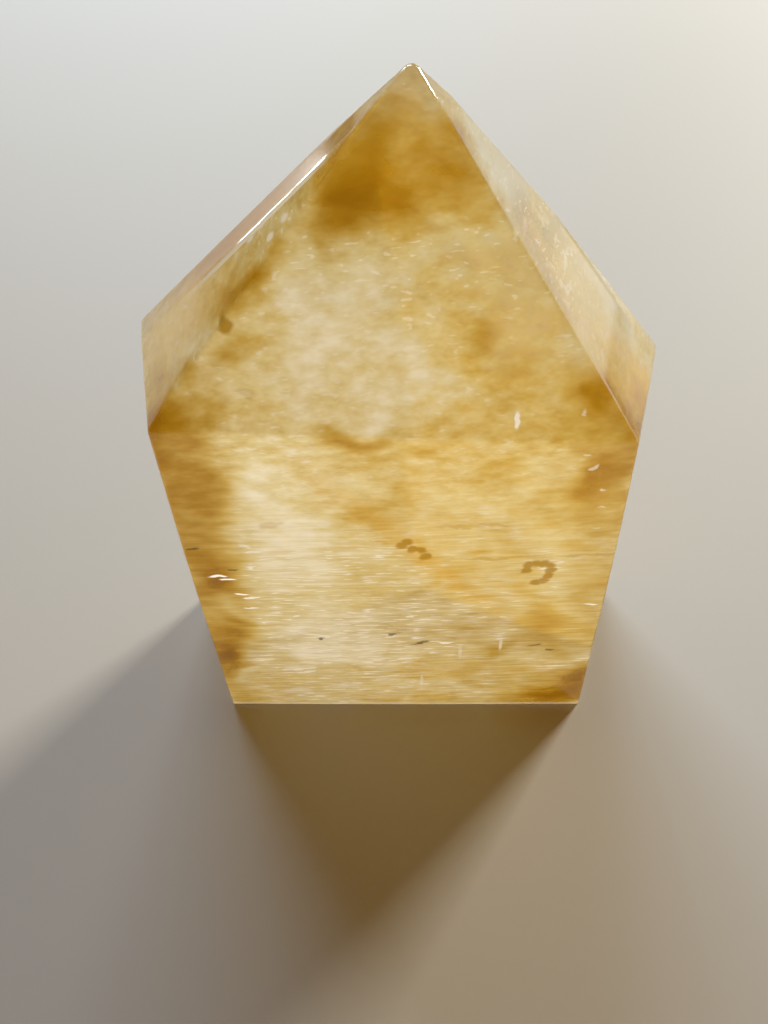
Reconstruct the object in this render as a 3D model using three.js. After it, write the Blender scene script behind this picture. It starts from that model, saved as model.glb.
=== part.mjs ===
// Honey calcite tower: one polished stone, ground by hand into five upright
// sides, a flat foot and a faceted point. Millimetres and degrees, +Z up; the
// origin is the middle of the foot's plane, under the middle of the stone.

import * as THREE from "three";
import { ConvexGeometry } from "three/addons/geometries/ConvexGeometry.js";

const { cos, sin } = Math;
const { degToRad } = THREE.MathUtils;

// Driving dimensions.
const HEIGHT = 80.2; // foot to the tip, where the main flats meet
const TIP_X = -1.52; // the tip stands a little left of the middle...
const TIP_Y = -0.74; // ...and a little forward of it
const ARRIS_RADIUS = 0.8; // the polish has rounded every edge and corner
const ARRIS_STEPS = 4; // strips across a rounded edge

// Every flat that was ground on the stone. `facing` is the compass angle its
// outward normal looks to (0 = +X, 90 = +Y, so 270 is the front), `tilt` is how
// far that normal leans up from the horizontal, and `clear` is how far outside
// the tip the plane of the flat passes, measured square to it.
const FLATS = {
  foot: { facing: 0, tilt: -90, clear: HEIGHT },

  // the five upright sides, a wide one in front
  frontSide: { facing: 270, tilt: 2.5, clear: 19.8 },
  leftSide: { facing: 194.3, tilt: 0.5, clear: 29.5 },
  backLeftSide: { facing: 129, tilt: -2.5, clear: 20.8 },
  backRightSide: { facing: 48.5, tilt: 6.5, clear: 11.8 },
  rightSide: { facing: 341.4, tilt: 5.2, clear: 25.4 },

  // the point: three large flats in front, with a thin one along the left arris
  frontPoint: { facing: 271.3, tilt: 38.6, clear: 0 },
  leftPoint: { facing: 189.2, tilt: 47.3, clear: 0.5 },
  leftArris: { facing: 178.2, tilt: 47.6, clear: 0 },
  rightPoint: { facing: 342.7, tilt: 45.7, clear: 0 },

  // the back of the point, ground in two passes on each side
  backLeftPoint: { facing: 133, tilt: 35.7, clear: 0.8 },
  backLeftTip: { facing: 126, tilt: 38.2, clear: 0 },
  backRightPoint: { facing: 46, tilt: 23.4, clear: 3.4 },
  backRightUpper: { facing: 48, tilt: 30.2, clear: 1 },
  backRightTip: { facing: 50, tilt: 41.6, clear: 0 },
};

const TIP = new THREE.Vector3(TIP_X, TIP_Y, HEIGHT);
const SAME_PLANE = 1e-6; // a point this near a plane lies on it
const SAME_POINT = 1e-4; // corners this near each other are one corner

// The flat's plane, moved inwards by `inset`, as a THREE.Plane facing out.
function planeOf({ facing, tilt, clear }, inset) {
  const around = degToRad(facing);
  const up = degToRad(tilt);
  const normal = new THREE.Vector3(
    cos(up) * cos(around), cos(up) * sin(around), sin(up));
  return new THREE.Plane(normal, -(normal.dot(TIP) + clear - inset));
}

// The point that three planes share, or null where two of them are parallel.
function meetingPoint(a, b, c) {
  const bc = b.normal.clone().cross(c.normal);
  const spread = a.normal.dot(bc);
  if (Math.abs(spread) < SAME_PLANE) return null;
  const ca = c.normal.clone().cross(a.normal);
  const ab = a.normal.clone().cross(b.normal);
  return bc.multiplyScalar(-a.constant)
    .addScaledVector(ca, -b.constant)
    .addScaledVector(ab, -c.constant)
    .divideScalar(spread);
}

// The corners of the solid inside all the planes, each with the normals of the
// flats that meet there.
function cornersOf(planes) {
  const corners = [];
  for (let i = 0; i < planes.length; i++) {
    for (let j = i + 1; j < planes.length; j++) {
      for (let k = j + 1; k < planes.length; k++) {
        const at = meetingPoint(planes[i], planes[j], planes[k]);
        if (!at) continue;
        if (planes.some((plane) => plane.distanceToPoint(at) > SAME_PLANE)) continue;
        let corner = corners.find((known) => known.at.distanceTo(at) < SAME_POINT);
        if (!corner) corners.push(corner = { at, normals: new Set() });
        for (const plane of [planes[i], planes[j], planes[k]]) {
          corner.normals.add(plane.normal);
        }
      }
    }
  }
  return corners;
}

// The direction `part` of the way round from one normal to the other.
function turned(from, to, part) {
  const angle = from.angleTo(to);
  return from.clone().multiplyScalar(sin((1 - part) * angle))
    .addScaledVector(to, sin(part * angle))
    .normalize();
}

// The directions in which a rounded corner bulges: square to each of its flats,
// in steps round each edge between two of them, and over its middle.
function cornerDirections(normals) {
  const directions = [...normals];
  const middle = new THREE.Vector3();
  for (const normal of normals) middle.add(normal);
  middle.normalize();
  directions.push(middle);
  normals.forEach((from, i) => {
    for (const to of normals.slice(i + 1)) {
      for (let step = 1; step < ARRIS_STEPS; step++) {
        const onEdge = turned(from, to, step / ARRIS_STEPS);
        directions.push(onEdge, turned(onEdge, middle, 0.5));
      }
    }
  });
  return directions;
}

// One body: the smallest convex skin over a small ball set in every corner.
function towerGeometry() {
  const planes = Object.values(FLATS).map((flat) => planeOf(flat, ARRIS_RADIUS));
  const points = [];
  for (const { at, normals } of cornersOf(planes)) {
    for (const direction of cornerDirections([...normals])) {
      points.push(at.clone().addScaledVector(direction, ARRIS_RADIUS));
    }
  }
  return new ConvexGeometry(points);
}

const honeyCalcite = new THREE.MeshStandardMaterial({
  name: "honey_calcite",
  color: 0xd9ad5b,
  roughness: 0.08,
  metalness: 0,
});

const tower = new THREE.Mesh(towerGeometry(), honeyCalcite);
tower.name = "tower";

const part = new THREE.Group();
part.add(tower);

export default part;
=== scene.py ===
"""A honey calcite tower, standing on a pale floor in soft window light.

The stone is one cut and polished piece. Sizes are in metres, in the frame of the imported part:
the tower stands on z = 0, its front side faces -Y and its point is up.
"""
import math

import bpy
from mathutils import Matrix, Vector


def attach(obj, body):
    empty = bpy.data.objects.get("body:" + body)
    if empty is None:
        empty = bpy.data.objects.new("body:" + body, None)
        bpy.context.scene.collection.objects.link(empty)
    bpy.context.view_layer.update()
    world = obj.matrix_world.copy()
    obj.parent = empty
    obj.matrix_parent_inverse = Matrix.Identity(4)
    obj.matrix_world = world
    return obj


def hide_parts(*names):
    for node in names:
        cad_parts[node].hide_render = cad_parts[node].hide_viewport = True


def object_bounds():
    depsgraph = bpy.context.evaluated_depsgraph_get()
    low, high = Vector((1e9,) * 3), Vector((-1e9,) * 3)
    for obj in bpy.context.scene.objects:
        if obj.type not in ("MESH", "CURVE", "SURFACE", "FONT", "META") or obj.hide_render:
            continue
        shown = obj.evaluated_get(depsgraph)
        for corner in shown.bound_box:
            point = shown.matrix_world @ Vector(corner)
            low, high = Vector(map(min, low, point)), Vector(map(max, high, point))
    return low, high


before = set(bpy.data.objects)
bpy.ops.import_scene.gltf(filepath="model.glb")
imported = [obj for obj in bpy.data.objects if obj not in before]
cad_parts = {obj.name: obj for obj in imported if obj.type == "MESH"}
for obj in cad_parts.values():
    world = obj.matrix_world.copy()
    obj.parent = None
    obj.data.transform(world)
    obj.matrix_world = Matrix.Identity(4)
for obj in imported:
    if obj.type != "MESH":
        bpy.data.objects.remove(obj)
part_low, part_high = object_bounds()
MM = 0.001


# ---- The camera: a phone held close over the front of the stone, looking steeply down ----

CAMERA_PLACE = (-3.86 * MM, -74.88 * MM, 107.01 * MM)
CAMERA_PITCH = 50.5             # degrees below level
LENS = 27.04                    # these two in millimetres, as a camera has them
SENSOR = 36

camera_data = bpy.data.cameras.new("camera")
camera_data.sensor_width = SENSOR
camera_data.lens = LENS
camera_data.clip_start = 5 * MM
camera = bpy.data.objects.new("camera", camera_data)
bpy.context.scene.collection.objects.link(camera)
camera.location = CAMERA_PLACE
camera.rotation_euler = (math.radians(90 - CAMERA_PITCH), 0, 0)
bpy.context.scene.camera = camera


# ---- The tower: one block of banded honey calcite, sawn to fifteen flats ----
# The flats are ground a little full and polished, and each edge is eased to a narrow round.
# It stands on a sawn and ground foot.

BLOCK = 200 * MM                # the side of the rough block, whose underside becomes the foot
HEIGHT = 80.2 * MM              # of the sharp point, before it is rounded
TIP = Vector((-1.52 * MM, -0.74 * MM, HEIGHT))
# Each flat faces a compass direction and is tilted up from level, both in degrees, and passes
# this far outside the tip.
FLATS = {
    "front side": (270, 2.5, 19.8 * MM),
    "left side": (194.3, 0.5, 29.5 * MM),
    "back left side": (129, -2.5, 20.8 * MM),
    "back right side": (48.5, 6.5, 11.8 * MM),
    "right side": (341.4, 5.2, 25.4 * MM),
    "front point": (271.3, 38.6, 0),
    "left point": (189.2, 47.3, 0.5 * MM),
    "left arris": (178.2, 47.6, 0),
    "right point": (342.7, 45.7, 0),
    "back left point": (133, 35.7, 0.8 * MM),
    "back left tip": (126, 38.2, 0),
    "back right point": (46, 23.4, 3.4 * MM),
    "back right upper": (48, 30.2, 1 * MM),
    "back right tip": (50, 41.6, 0),
}
EDGE_ROUND = 0.35 * MM
ROUND_STEPS = 4
CROWN = 0.03                    # how far the flats are drawn towards a ball
CROWN_STEPS = 3
MIDDLE = 37 * MM                # the height that the crown is worked around


def direction(compass, tilt):
    """The way that faces this compass direction, tilted up from level, both in degrees."""
    compass, tilt = math.radians(compass), math.radians(tilt)
    return Vector((math.cos(compass) * math.cos(tilt), math.sin(compass) * math.cos(tilt), math.sin(tilt)))


bpy.ops.object.select_all(action="DESELECT")
bpy.ops.mesh.primitive_cube_add(size=BLOCK, location=(0, 0, BLOCK / 2))
tower = bpy.context.object
tower.name = "polished_tower"
bpy.ops.object.mode_set(mode="EDIT")
for compass, tilt, clear in FLATS.values():
    out = direction(compass, tilt)
    bpy.ops.mesh.select_all(action="SELECT")
    bpy.ops.mesh.bisect(plane_co=TIP + out * clear, plane_no=out, use_fill=True, clear_outer=True)
bpy.ops.mesh.select_all(action="SELECT")
bpy.ops.mesh.bevel(offset=EDGE_ROUND, segments=ROUND_STEPS, affect="EDGES")
bpy.ops.mesh.select_all(action="SELECT")
bpy.ops.mesh.quads_convert_to_tris()
bpy.ops.object.mode_set(mode="OBJECT")
bpy.ops.object.transform_apply(location=True, rotation=True, scale=True)

bpy.context.scene.cursor.location = (0, 0, MIDDLE)
bpy.ops.object.origin_set(type="ORIGIN_CURSOR")
finer = tower.modifiers.new("finer", "SUBSURF")
finer.subdivision_type = "SIMPLE"
finer.levels = finer.render_levels = CROWN_STEPS
crown = tower.modifiers.new("crown", "CAST")
crown.factor = CROWN
crown.use_z = False
for modifier in ("finer", "crown"):
    bpy.ops.object.modifier_apply(modifier=modifier)
bpy.ops.object.transform_apply(location=True, rotation=True, scale=True)

# The crown and the rounding change its reach a little, so the mesh is fitted to the part's box.
low = Vector([min(v.co[i] for v in tower.data.vertices) for i in range(3)])
high = Vector([max(v.co[i] for v in tower.data.vertices) for i in range(3)])
part_low, part_high = Vector(part_low), Vector(part_high)
fit = Matrix.Diagonal([(part_high[i] - part_low[i]) / (high[i] - low[i]) for i in range(3)]).to_4x4()
tower.data.transform(Matrix.Translation(part_low) @ fit @ Matrix.Translation(-low))
bpy.ops.object.shade_smooth()


class Wire:
    """One output of a shader node. Sums, differences and products of wires add their Math nodes."""

    def __init__(self, socket):
        self.socket = socket
        self.tree = socket.id_data

    def node(self, kind, settings=None, output=0, **inputs):
        """A new node of this kind, with its settings made first and then its inputs set or linked."""
        made = self.tree.nodes.new("ShaderNode" + kind)
        for name, value in (settings or {}).items():
            if name == "stops":
                ramp = made.color_ramp
                while len(ramp.elements) < len(value):
                    ramp.elements.new(1)
                for element, (position, colour) in zip(ramp.elements, value):
                    element.position = position
                    element.color = (*colour, 1)
            else:
                setattr(made, name, value)
        for name, value in inputs.items():
            key = int(name[1:]) if name[1:].isdigit() else name.replace("_", " ")
            if isinstance(value, Wire):
                self.tree.links.new(value.socket, made.inputs[key])
            else:
                made.inputs[key].default_value = value
        return Wire(made.outputs[output])

    def math(self, operation, first, second=0.0):
        return self.node("Math", {"operation": operation}, i0=first, i1=second)

    def __add__(self, other):
        return self.math("ADD", self, other)

    __radd__ = __add__

    def __sub__(self, other):
        return self.math("SUBTRACT", self, other)

    def __rsub__(self, other):
        return self.math("SUBTRACT", other, self)

    def __mul__(self, other):
        return self.math("MULTIPLY", self, other)

    __rmul__ = __mul__

    def __abs__(self):
        return self.math("ABSOLUTE", self)

    def soft(self, low, high, bottom=0.0, top=1.0):
        """Goes smoothly from bottom to top as this value goes from low to high."""
        return self.node(
            "MapRange", {"interpolation_type": "SMOOTHSTEP"},
            Value=self, From_Min=low, From_Max=high, To_Min=bottom, To_Max=top,
        )

    def larger(self, other):
        return self.math("MAXIMUM", self, other)

    def smaller(self, other):
        return self.math("MINIMUM", self, other)


# The honey calcite: clear amber and milky pale stone, grown in almost level layers. Its pattern is
# made of clouds, streaks and zones in the stone's own places. Zones and marks are in millimetres.
LAYER_DIP = 2.5                 # degrees that the growth layers dip to the right
UP = (0, 0, 1)
BACKWARDS = (0, 1, 0)

calcite = bpy.data.materials.new("honey_calcite")
calcite.use_nodes = True
tree = calcite.node_tree
tree.nodes.clear()
place = Wire(tree.nodes.new("ShaderNodeTexCoord").outputs["Object"])
laid = place.node("VectorRotate", {"rotation_type": "Y_AXIS"}, Vector=place, Angle=math.radians(LAYER_DIP))
turn = Matrix.Rotation(math.radians(LAYER_DIP), 3, "Y")


def along(space, way):
    """How far a place, or a direction, goes this way."""
    return space.node("VectorMath", {"operation": "DOT_PRODUCT"}, 1, i0=space, i1=way)


def stirred(space, noise, reach):
    """The same places, each moved to and fro by noise, over this reach at most, so that borders wander."""
    moved = space.node("VectorMath", {"operation": "MULTIPLY_ADD"}, i0=noise, i1=reach, i2=space)
    return moved.node("VectorMath", {"operation": "SUBTRACT"}, i0=moved, i1=tuple(r / 2 for r in reach))


def grain(space, length, thickness, shift, detail):
    """Cloudy noise, drawn out along the layers: its grains are this long and thick, in millimetres."""
    size = (1000 / length, 1000 / length, 1000 / thickness)
    stretched = space.node("VectorMath", {"operation": "MULTIPLY_ADD"}, i0=space, i1=size, i2=(shift,) * 3)
    return stretched.node("TexNoise", Vector=stretched, Scale=1.0, Detail=detail, Roughness=0.55)


def zone(space, centre, reach):
    """One in the middle of a rounded zone, falling softly to nothing at its reach, in millimetres."""
    offset = space.node(
        "VectorMath", {"operation": "MULTIPLY_ADD"}, i0=space,
        i1=tuple(1000 / r for r in reach), i2=tuple(-c / r for c, r in zip(centre, reach)),
    )
    return offset.node("VectorMath", {"operation": "LENGTH"}, 1, i0=offset).soft(1.0, 0.0)


def marks(space, reach, centres):
    """One at each of these places in the layers, in marks that all have this reach, in millimetres."""
    scaled = space.node("VectorMath", {"operation": "MULTIPLY"}, i0=space, i1=tuple(1000 / r for r in reach))
    nearest = None
    for centre in centres:
        laid_centre = turn @ Vector(centre)
        middle = tuple(c / r for c, r in zip(laid_centre, reach))
        distance = scaled.node("VectorMath", {"operation": "DISTANCE"}, 1, i0=scaled, i1=middle)
        nearest = nearest.smaller(distance) if nearest else distance
    return nearest.soft(1.0, 0.5)


def blend(share, first, second):
    """The first colour, going over to the second as the share goes from 0 to 1."""
    return share.node("Mix", {"data_type": "RGBA"}, 2, i0=share, i6=first, i7=second)


def clear_calcite(tint, shine):
    """Calcite that is seen into, tinted where light enters it, under a polish of this shine."""
    return tint.node(
        "BsdfPrincipled", Base_Color=tint, Roughness=0.15, IOR=1.6, Transmission_Weight=1.0,
        Specular_IOR_Level=0.1, Coat_Weight=shine, Coat_Roughness=0.03, Coat_IOR=1.6,
    )


def milky_calcite(colour, glow):
    """Calcite that shines back in its colour, and glows with the light that falls on its far side."""
    front_lit = colour.node(
        "BsdfPrincipled", Base_Color=colour, Roughness=0.05, IOR=1.6, Specular_IOR_Level=0.45,
    )
    back_lit = colour.node("BsdfTranslucent", Color=(0.90, 0.83, 0.68, 1))
    return colour.node("MixShader", Fac=glow, i1=front_lit, i2=back_lit)


# What is laid out in the loose places has borders that wander. Upper is one in the point of the
# stone and goes over to lower in its upper half.
wander = place.node("TexNoise", None, 1, Vector=place, Scale=150.0, Detail=0.0)
loose = stirred(place, wander, (12 * MM, 12 * MM, 9 * MM))
upper = along(loose, UP).soft(34 * MM, 52 * MM)
lower = 1 - upper

# Each grain has a shift of its own, so that no two are alike.
clouds = grain(loose, 9, 5, 3.1, 1.0)
wisps = grain(laid, 2.4, 1.1, 71.0, 2.0)
layers = grain(laid, 8, 0.8, 11.7, 1.0)
fibres = grain(laid, 5, 0.38, 23.0, 1.0)
needles = grain(laid, 1.9, 0.24, 41.0, 0.0)
flecks = grain(laid, 0.9, 0.26, 57.0, 0.0)

# The narrow flat outside the left arris of the point is deep amber. The plane stands on that arris.
ARRIS_PLANE = (-0.1137, 0.9938, 0.0425)
ARRIS_OFFSET = 0.7 * MM
rim = along(place, ARRIS_PLANE) + ARRIS_OFFSET
outside = rim.soft(0.3 * MM, 0.9 * MM) * zone(place, (-19, -2, 65), (20, 8, 20))

# How deep the honey is, from 0 for pale to 1 for amber: soft clouds, and fine streaks that are
# wispy in the point and level lower down.
cloudiness = clouds * 0.65 + zone(place, (-4, -3, 71.5), (13, 14, 9)) * 0.35
cloudiness = cloudiness + zone(place, (-19, 2, 66), (18, 8, 14)) * 0.4 + 0.08
cloudiness = cloudiness + outside * 0.5
streaks = (wisps - 0.5) * (upper * 0.45 + 0.3) + ((layers - 0.5) * 0.3 + (fibres - 0.5) * 0.42) * lower

YELLOWS = {"stops": (
    (0.0, (0.98, 0.97, 0.82)),
    (0.3, (0.85, 0.76, 0.44)),
    (0.6, (0.66, 0.47, 0.12)),
    (0.85, (0.51, 0.28, 0.01)),
    (1.0, (0.40, 0.19, 0.002)),
)}
TINTS = {"stops": (
    (0.1, (1.0, 0.97, 0.80)),
    (0.4, (0.90, 0.74, 0.40)),
    (0.65, (0.60, 0.35, 0.07)),
    (0.85, (0.37, 0.15, 0.005)),
    (1.0, (0.26, 0.085, 0.0005)),
)}

# The back and the sides: the same clouds and streaks, milky all through.
rear = cloudiness * 1.15 + streaks * 0.85 + zone(place, (15, 8, 64), (10, 14, 9)) * 0.4 + 0.06
rear = rear + zone(place, (-30, 4, 28), (10, 26, 40)) * 0.3 + zone(place, (29, 4, 28), (10, 26, 40)) * 0.3
far_side = milky_calcite(rear.node("ValToRGB", YELLOWS, Fac=rear), rear.soft(0.9, 0.3, 0.35, 0.6))

# The front: milky in the middle, amber at the edges and in the tip. Each zone has its centre, its
# reach, and how much deeper the honey is there, or paler where that is below nothing.
DEPTH_ZONES = (
    ((-14.5, -22, 39), (13, 30, 12), -0.42),      # the milky middle, from here down
    ((-10, -22, 19), (18, 30, 18), -0.27),
    ((-6, -17, 61), (15, 20, 9), -0.4),           # over the front shoulder
    ((-12, -21, 51), (9, 20, 7), -0.1),
    ((17, -8, 62), (14, 16, 10), -0.2),           # the right flat of the point
    ((7, -3, 72), (9, 10, 9), -0.8),
    ((22, -9, 57), (7, 10, 6), -0.5),
    ((-27, -8, 57), (9, 12, 9), -0.2),            # the left shoulder
    ((-19, -17, 57.5), (6, 12, 5), -0.25),
    ((-4, -22, 33), (14, 24, 14), -0.08),
    ((7, -22, 20), (9, 24, 8), -0.15),
    ((-27, -22, 30), (8, 30, 38), 0.3),           # the left edge, all the way down
    ((-26, -22, 51), (9, 30, 12), 0.4),
    ((-24, -22, 34), (8, 30, 12), 0.3),
    ((-25, -22, 13), (9, 30, 16), 0.36),
    ((2, -20, 50), (16, 24, 8), 0.15),            # a band under the front shoulder
    ((-18, -14, 64), (7, 9, 7), 0.35),            # inside the left arris of the point
    ((-6, -8, 71), (10, 13, 7), 0.4),             # the tip
    ((3, -6, 73), (7, 10, 6), 0.3),
    ((-6, -20, 54), (8, 14, 2.5), 0.55),          # along the front shoulder
    ((14, -20, 56), (8, 12, 6), 0.48),
    ((8, -13, 62.5), (8, 9, 7), 0.12),
    ((19, -22, 49), (9, 13, 12), 0.55),           # the right edge, down to the corner of the foot
    ((22, -23, 5), (13, 30, 10), 0.65),
    ((14, -22, 20), (13, 30, 12), 0.28),
    ((25, -22, 31), (8, 30, 15), 0.25),
)
honey = cloudiness
for centre, reach, deeper in DEPTH_ZONES:
    here = zone(loose, centre, reach)
    honey = here.node("Math", {"operation": "MULTIPLY_ADD"}, i0=here, i1=deeper, i2=honey)
honey = honey + streaks * honey.soft(0.9, 0.3, 0.45, 1.0)

# A healed crack: a thin golden sheet, slanting down to the right through the front.
SHEET_PLANE = (0.74, 0.1, 0.67)
SHEET_OFFSET = 22.2 * MM
SHEET_REACH = 2.6 * MM
ragged = stirred(laid, wisps, (3 * MM, 0, 2 * MM))
sheet = abs(along(ragged, tuple(turn @ Vector(SHEET_PLANE))) - SHEET_OFFSET).soft(SHEET_REACH, 0.0)
sheet = sheet * zone(place, (0, -22, 36), (28, 14, 30))
depth = honey + sheet * 0.12

# Small things shut in near the front. Those with ragged outlines are stirred by the wisps, and
# those in the uneven space less so.
uneven = laid.node("Mix", {"data_type": "VECTOR"}, 1, i0=0.4, i4=laid, i5=ragged)
front_needles = marks(uneven, (1.5, 4, 0.26), (
    (-22.4, -22.7, 31.3), (-21.2, -22.8, 28.3), (-23.4, -22.7, 31.9), (-20.0, -22.8, 27.6),
    (-20.4, -22.9, 25.4), (-17.1, -23.4, 15.9), (21.8, -22.9, 26.2), (-18.6, -22.5, 36.6),
    (4.4, -23.4, 17.6),
))
low_veils = marks(ragged, (3.0, 4, 0.9), ((-15.5, -23.6, 11.0), (-16.2, -23.9, 4.4), (-9.5, -23.8, 6.0)))
upright_hairs = marks(laid, (0.32, 4, 2.2), ((6.4, -23.4, 15.1), (1.5, -23.7, 7.4), (11.6, -23.3, 17.2)))
white_spot = marks(uneven, (0.45, 3, 0.9), ((8.9, -20.5, 55.1),))
white_specks = marks(ragged, (0.5, 3, 0.32), (
    (17.7, -21.9, 50.2), (18.9, -22.0, 46.8), (19.2, -22.2, 44.0), (19.3, -22.2, 40.6), (16.4, -21.8, 51.8),
    (-26.2, -8.0, 57.8), (15.4, -21.0, 55.5),
))
# Painted glints: white flecks along the left arris of the point stand for small sparkles of light.
arris_painted_glints = marks(laid, (0.8, 0.9, 0.6), (
    (-13.3, -7.9, 69.1), (-15.9, -5.5, 67.0), (-17.1, -6.1, 65.9), (-14.6, -8.8, 67.6), (-18.9, -7.0, 64.6),
))
bright = front_needles.larger(low_veils * 0.6).larger(upright_hairs * 0.7).larger(white_spot)
bright = bright.larger(white_specks * 0.6).larger(arris_painted_glints * 0.8)

# A painted highlight: a thin white line along the left arris of the point, standing for the light that its
# rounded edge catches.
painted_arris_highlight = abs(rim).soft(0.6 * MM, 0.3 * MM) * zone(place, (-17, -5, 67), (14, 8, 14))
bright = bright.larger(painted_arris_highlight.soft(0.0, 0.5) * 0.8)

# The brown dots stand in two short curls and alone, with thin brown lines and faint smudges.
brown_dots = marks(uneven, (0.95, 4, 0.85), (
    (-1.9, -22.4, 38.0), (-1.3, -22.4, 38.6), (-0.6, -22.4, 37.4), (0.3, -22.4, 37.2), (0.9, -22.4, 36.1),
    (12.8, -22.6, 34.3), (13.7, -22.6, 34.5), (14.6, -22.6, 34.5), (15.4, -22.6, 34.2), (15.5, -22.6, 33.2),
    (15.5, -22.6, 32.2), (15.1, -22.6, 31.3), (14.3, -22.6, 31.0), (12.9, -22.6, 33.4), (-18.9, -15.4, 62.3),
))
brown_lines = marks(ragged, (6.0, 4, 0.35), ((7.4, -22.5, 35.6), (6.2, -22.3, 41.4), (19.5, -22.5, 36.0)))
smudges = marks(ragged, (1.5, 4, 0.7), (
    (-16.2, -22.3, 41.4), (-3.6, -23.0, 21.6), (-1.0, -23.0, 20.6), (0.6, -23.0, 19.0), (-17.0, -18.0, 57.5),
))
brown = brown_dots.larger(brown_lines * 0.55).larger(smudges * 0.45)
black = marks(ragged, (0.8, 4, 0.34), (
    (-25.4, -22.4, 37.1), (-21.6, -22.6, 33.2), (-12.3, -23.3, 18.3), (16.1, -23.3, 16.8),
    (18.2, -23.4, 15.6), (1.4, -23.3, 17.8), (0.4, -23.3, 17.2), (-2.6, -23.2, 19.8),
)) * 0.8
dark = brown.larger(black)

# Places in the point that have a look of their own. The left shoulder is made a brighter gold, partly its
# own colour and partly painted glow; the patch on the right flat and all that is high up are darkened as
# painted shade.
left_shoulder_gold_and_painted_glow = zone(place, (-25, -8, 58), (14, 11, 13))
right_shoulder = zone(loose, (21, -13, 54), (8, 9, 6))
painted_shade_patch = zone(loose, (12, -6, 66), (8, 9, 5))
glassy_flat = zone(loose, (15, -8, 64), (13, 13, 13))
hazy_tip = zone(place, (-1.5, -1, 79), (6, 6, 6))
painted_shade_high_up = along(loose, UP).soft(60 * MM, 67 * MM)

# What is whitened: needles low down, flecks in the point that are painted glints, veils in its glassy right
# flat, the bright marks, and a painted highlight along the bottom edge of the foot.
flash = needles.soft(0.59, 0.69) * depth.soft(0.6, 0.25) * lower
# Painted glints: flecks in the point are whitened to stand for sparkles of light.
flash = flash.larger(flecks.soft(0.66, 0.76) * depth.soft(0.65, 0.3) * upper * 0.6)
flash = flash.larger(wisps.soft(0.5, 0.64) * glassy_flat * 0.8).larger(bright)
# Painted highlight: the bottom millimetre of the foot is whitened for the bright line that its rounded edge
# catches.
flash = flash.larger(along(place, UP).soft(1.1 * MM, 0.5 * MM) * 0.5)

colour = depth.node("ValToRGB", YELLOWS, Fac=depth)
for share, over in (
    (glassy_flat * 0.6, (0.52, 0.45, 0.35, 1)),
    # Painted shade: a patch on the right flat of the point is darkened.
    (painted_shade_patch * 0.65, (0.24, 0.17, 0.09, 1)),
    (hazy_tip * 0.6, (0.44, 0.28, 0.15, 1)),
    # Painted shade: everything high in the point is darkened a little.
    (painted_shade_high_up * 0.2, (0.03, 0.02, 0.002, 1)),
    (sheet * 0.5, (0.80, 0.46, 0.08, 1)),
    # Painted glow, partly the stone's own gold: the left shoulder is made brighter.
    (left_shoulder_gold_and_painted_glow * 0.85, (1.0, 0.70, 0.26, 1)),
    (outside, (0.60, 0.25, 0.0, 1)),
    (right_shoulder * 0.7, (0.98, 0.64, 0.20, 1)),
    (flash, (1.0, 0.99, 0.92, 1)),
    (brown * 0.9, (0.37, 0.20, 0.004, 1)),
    (black, (0.02, 0.012, 0.002, 1)),
):
    colour = blend(share, colour, over)

shine = 1 - outside * 0.8 - glassy_flat * 0.3 - lower * 0.5
glow = depth.soft(0.85, 0.2, 0.02, 0.45) * (1 - dark) * (1 - upper * 0.3 - painted_shade_high_up * 0.35)
glow = glow * (1 - glassy_flat * 0.5) * (1 - painted_shade_patch * 0.5)
cloudy = 0.93 - depth * 0.6 - glassy_flat * 0.3 - left_shoulder_gold_and_painted_glow * 0.1 + outside * 0.4
cloudy = cloudy.larger(flash).larger(dark)
near_side = cloudy.node(
    "MixShader", Fac=cloudy,
    i1=clear_calcite(depth.node("ValToRGB", TINTS, Fac=depth), shine), i2=milky_calcite(colour, glow),
)

behind = along(place, BACKWARDS).soft(-6 * MM, 6 * MM)
surface = behind.node("MixShader", Fac=behind, i1=near_side, i2=far_side)
absorbing = place.node("VolumeAbsorption", Color=(0.95, 0.80, 0.08, 1), Density=36)
output = tree.nodes.new("ShaderNodeOutputMaterial")
tree.links.new(surface.socket, output.inputs["Surface"])
tree.links.new(absorbing.socket, output.inputs["Volume"])
tower.data.materials.append(calcite)

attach(tower, "root")
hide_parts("tower")


# ---- The stage: a pale matt floor, a soft room, a bright sky behind and a window to the right ----
# Light from behind comes through the stone. The fill stands for what the room gives back in front.

bpy.ops.object.select_all(action="DESELECT")
bpy.ops.mesh.primitive_circle_add(radius=3, vertices=96, fill_type="NGON", location=(0, 0, 0))
floor = bpy.context.object
floor.name = "floor"
paper = bpy.data.materials.new("pale_floor")
paper.use_nodes = True
matt = paper.node_tree.nodes["Principled BSDF"]
matt.inputs["Base Color"].default_value = (0.53, 0.49, 0.455, 1)
matt.inputs["Roughness"].default_value = 0.65
floor.data.materials.append(paper)

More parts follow.
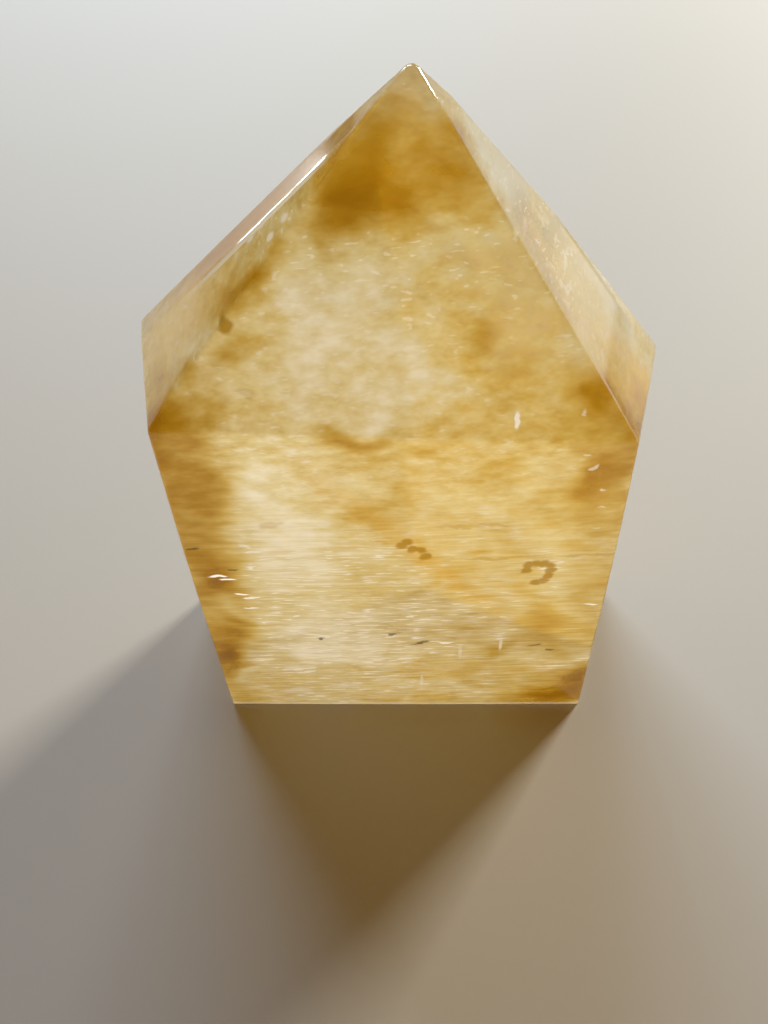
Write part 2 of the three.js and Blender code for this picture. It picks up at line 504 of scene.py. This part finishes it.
# The room is dim and warm all round, and bright low down behind the stone. Seen straight, it is a
# plain pale grey.
TOWARDS_SKY = (0.64, 0.77, 0.0)
world = bpy.data.worlds.new("soft_room")
world.use_nodes = True
room = world.node_tree
way = Wire(room.nodes.new("ShaderNodeTexCoord").outputs["Generated"])
bright_side = along(way, TOWARDS_SKY).soft(0.2, 0.8) * along(way, UP).soft(0.42, 0.15)
walls = blend(bright_side, (0.17, 0.09, 0.015, 1), (1.1, 1.1, 1.1, 1))
seen_straight = way.node("LightPath")
backdrop = blend(seen_straight, walls, (0.62, 0.62, 0.6, 1))
room.links.new(backdrop.socket, room.nodes["Background"].inputs["Color"])
bpy.context.scene.world = world
world.cycles.sampling_method = "NONE"


def soft_box(name, compass, tilt, away, width, height, power, tint):
    """A big flat lamp, this far from the stone and turned to it, in metres and watts."""
    aim = direction(compass, tilt)
    data = bpy.data.lights.new(name, "AREA")
    data.shape = "RECTANGLE"
    data.size, data.size_y = width, height
    data.energy = power
    data.color = tint
    lamp = bpy.data.objects.new(name, data)
    bpy.context.scene.collection.objects.link(lamp)
    lamp.location = aim * away
    lamp.rotation_euler = aim.to_track_quat("Z", "Y").to_euler()
    return lamp


soft_box("window", 50, 31, away=1.3, width=0.26, height=0.3, power=12.5, tint=(1, 0.99, 0.86))
soft_box("sky", 104, 33, away=1.3, width=0.9, height=0.55, power=15, tint=(0.66, 0.84, 1.0))

# The fill lights the stone alone, and isn't seen in its polish or through it.
fill = soft_box("fill", 256, 4, away=1.2, width=0.9, height=0.2, power=15.5, tint=(1.0, 0.95, 0.87))
fill.visible_glossy = False
fill.visible_transmission = False
on_stone = bpy.data.collections.new("lit_by_fill")
on_stone.objects.link(tower)
fill.light_linking.receiver_collection = on_stone

# A narrow strip, low behind the left side, draws the bright line on the left edges.
soft_box("strip", 121.5, 0.8, away=1.3, width=0.27, height=0.036, power=0.42, tint=(1, 1, 1))

# Enough bounces for light to go in at the back, through the stone and out at the front.
scene = bpy.context.scene
scene.view_settings.view_transform = "Standard"
scene.cycles.max_bounces = 9
scene.cycles.diffuse_bounces = 2
scene.cycles.use_light_tree = False
scene.cycles.transmission_bounces = 7
scene.cycles.caustics_refractive = True
